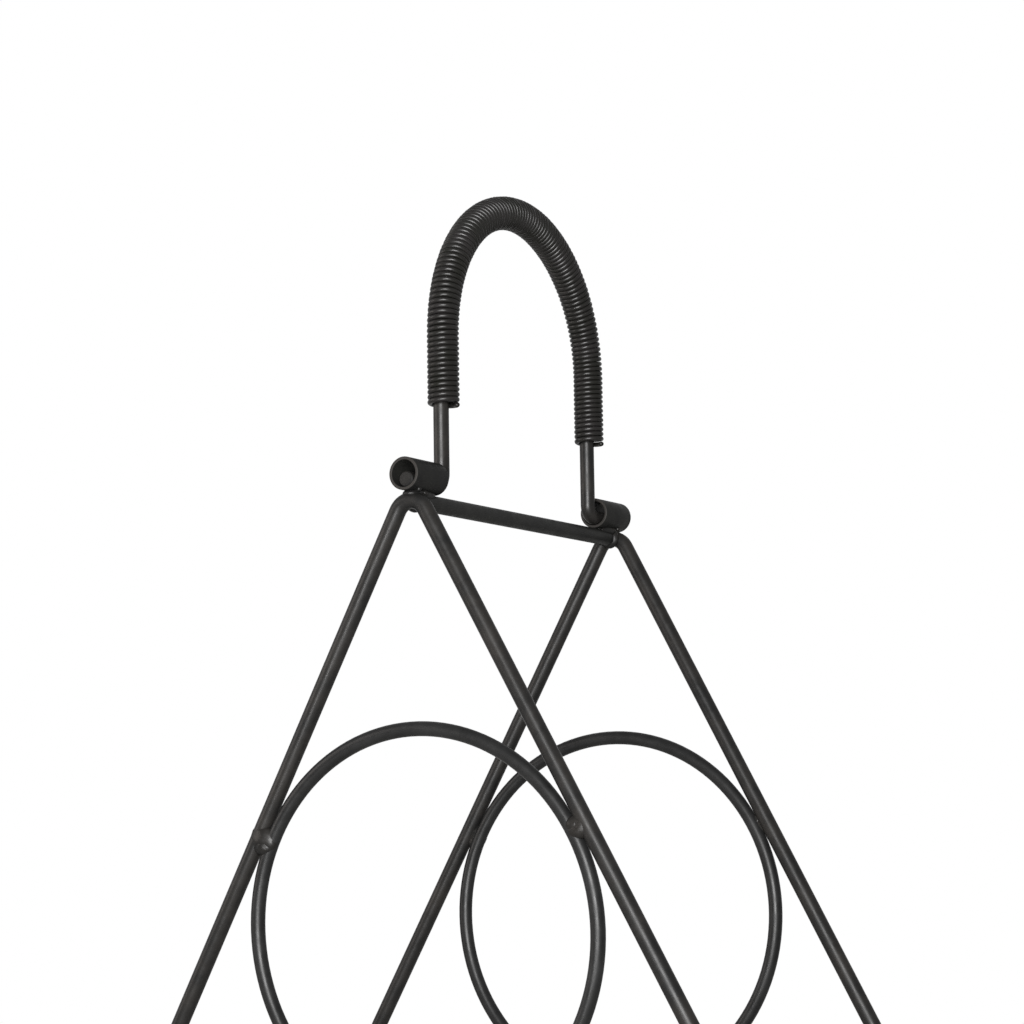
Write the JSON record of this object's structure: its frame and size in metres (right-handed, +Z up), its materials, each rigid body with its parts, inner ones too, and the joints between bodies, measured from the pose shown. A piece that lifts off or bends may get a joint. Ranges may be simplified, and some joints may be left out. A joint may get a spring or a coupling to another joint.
{
  "type": "bottle caddy",
  "caption": "Triangular wire bottle caddy: bent rod frames front and back, welded bottle rings and cross bars, and a bail handle with a coil spring grip that swings in tubes.",
  "frame": {"origin": "on the floor, under the middle of the caddy", "axes": "+X to the right seen from the front, +Y from the front frame to the back frame, along the bottles, +Z up"},
  "size_m": [0.2844, 0.119, 0.3492],
  "materials": {
    "frame_rod": "satin black powder coat",
    "ring_rod": "satin black powder coat",
    "tube": "satin black powder coat",
    "weld": "satin black powder coat",
    "handle_rod": "satin black powder coat",
    "coil": "satin black powder coat"
  },
  "bodies": {
    "frame": {"front_frame": "frame_rod", "back_frame": "frame_rod", "top_crossbar": "frame_rod", "left_base_bar": "frame_rod", "right_base_bar": "frame_rod", "front_top_ring": "ring_rod", "front_left_ring": "ring_rod", "front_right_ring": "ring_rod", "back_top_ring": "ring_rod", "back_left_ring": "ring_rod", "back_right_ring": "ring_rod", "front_pivot_tube": "tube", "back_pivot_tube": "tube", "front_ring_welds": "weld", "back_ring_welds": "weld", "front_apex_weld": "weld", "back_apex_weld": "weld", "left_base_bar_welds": "weld", "right_base_bar_welds": "weld"},
    "handle": {"handle_rod": "handle_rod", "handle_coil": "coil"}
  },
  "joints": [
    {"name": "handle_swing", "type": "hinge", "parent": "frame", "child": "handle", "pos_m": [0, 0, 0.26444], "axis": [0, 1, 0], "range_deg": [-120, 120]}
  ]
}
